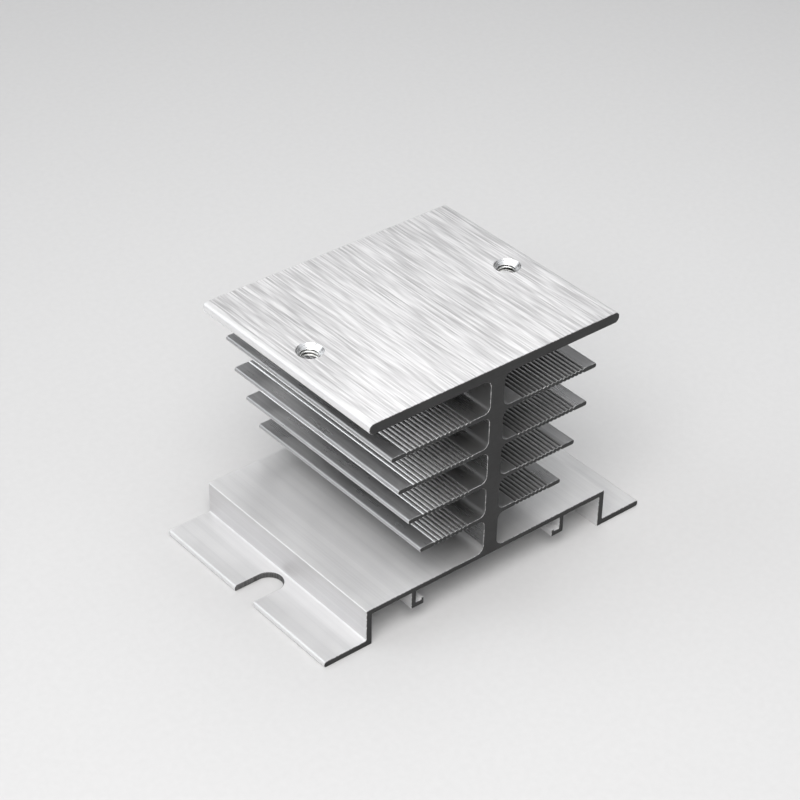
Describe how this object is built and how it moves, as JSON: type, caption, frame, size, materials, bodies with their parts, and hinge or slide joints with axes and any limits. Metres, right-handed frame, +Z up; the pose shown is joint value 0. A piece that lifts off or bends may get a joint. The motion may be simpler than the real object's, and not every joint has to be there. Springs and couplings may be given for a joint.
{
  "type": "heat sink",
  "caption": "Extruded aluminium heat sink for a single-phase solid state relay: flat relay plate, finned web, slotted feet and under-tray hooks for a mounting rail.",
  "frame": {"origin": "middle of the footprint, on the plane of the feet", "axes": "+Z up towards the relay face, +X across the feet, +Y along the extrusion"},
  "size_m": [0.08, 0.05, 0.0506],
  "materials": {
    "aluminium": "satin, brushed along the extrusion"
  },
  "bodies": {
    "root": {"heat_sink_extrusion": "aluminium"}
  },
  "joints": []
}
